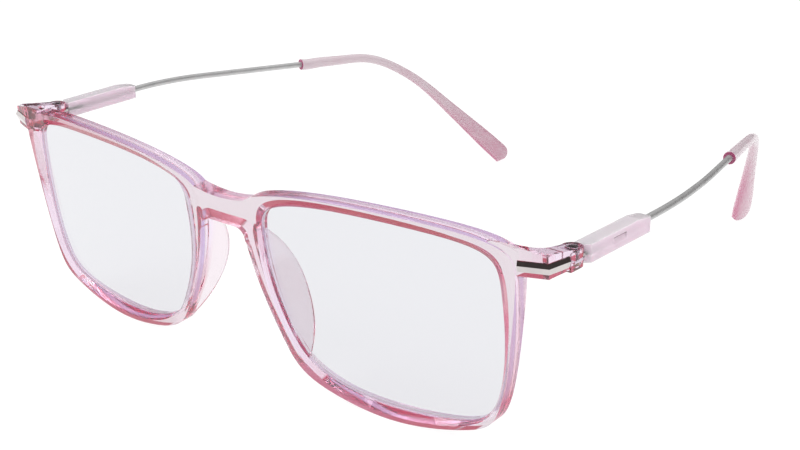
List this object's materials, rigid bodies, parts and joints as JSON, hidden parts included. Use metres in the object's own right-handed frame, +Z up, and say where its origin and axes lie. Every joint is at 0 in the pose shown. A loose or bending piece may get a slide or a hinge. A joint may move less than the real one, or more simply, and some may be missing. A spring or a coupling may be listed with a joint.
{
  "type": "blue light glasses",
  "caption": "Full-rim rectangular spectacles: clear tinted one-piece front with integral nose pads, flat corner trims, screw hinges and slim wire temples with soft ear tips.",
  "frame": {"origin": "middle of the base of the bounding box with the temples open, on the surface the glasses rest on", "axes": "+Z up, -Y the way the wearer looks, +X the wearer's left"},
  "size_m": [0.149, 0.1414, 0.0436],
  "materials": {
    "front_clear_pink": "polished, transparent pale pink",
    "lens_coated": "polished, faint grey-blue, violet edge reflections",
    "trim_chrome": "polished",
    "screw_steel": "satin, dark",
    "insert_brass": "plain",
    "tongue_steel": "satin",
    "sleeve_milky_pink": "glossy, milky translucent",
    "rod_satin_steel": "satin",
    "tip_soft_pink": "satin, translucent"
  },
  "bodies": {
    "front": {"front_frame": "front_clear_pink", "lens_left": "lens_coated", "lens_right": "lens_coated", "corner_trim_left": "trim_chrome", "corner_trim_right": "trim_chrome", "hinge_screw_left": "screw_steel", "hinge_screw_right": "screw_steel", "hinge_insert_left": "insert_brass", "hinge_insert_right": "insert_brass"},
    "temple_left": {"temple_sleeve_left": "sleeve_milky_pink", "temple_rod_left": "rod_satin_steel", "temple_tip_left": "tip_soft_pink", "hinge_tongue_left": "tongue_steel"},
    "temple_right": {"temple_sleeve_right": "sleeve_milky_pink", "temple_rod_right": "rod_satin_steel", "temple_tip_right": "tip_soft_pink", "hinge_tongue_right": "tongue_steel"}
  },
  "joints": [
    {"name": "temple_left_fold", "type": "hinge", "parent": "front", "child": "temple_left", "pos_m": [0.0722, -0.05409, 0.03792], "axis": [0, 0, 1], "range_deg": [0, 76]},
    {"name": "temple_right_fold", "type": "hinge", "parent": "front", "child": "temple_right", "pos_m": [-0.0722, -0.05409, 0.03792], "axis": [0, 0, -1], "range_deg": [0, 71]}
  ]
}
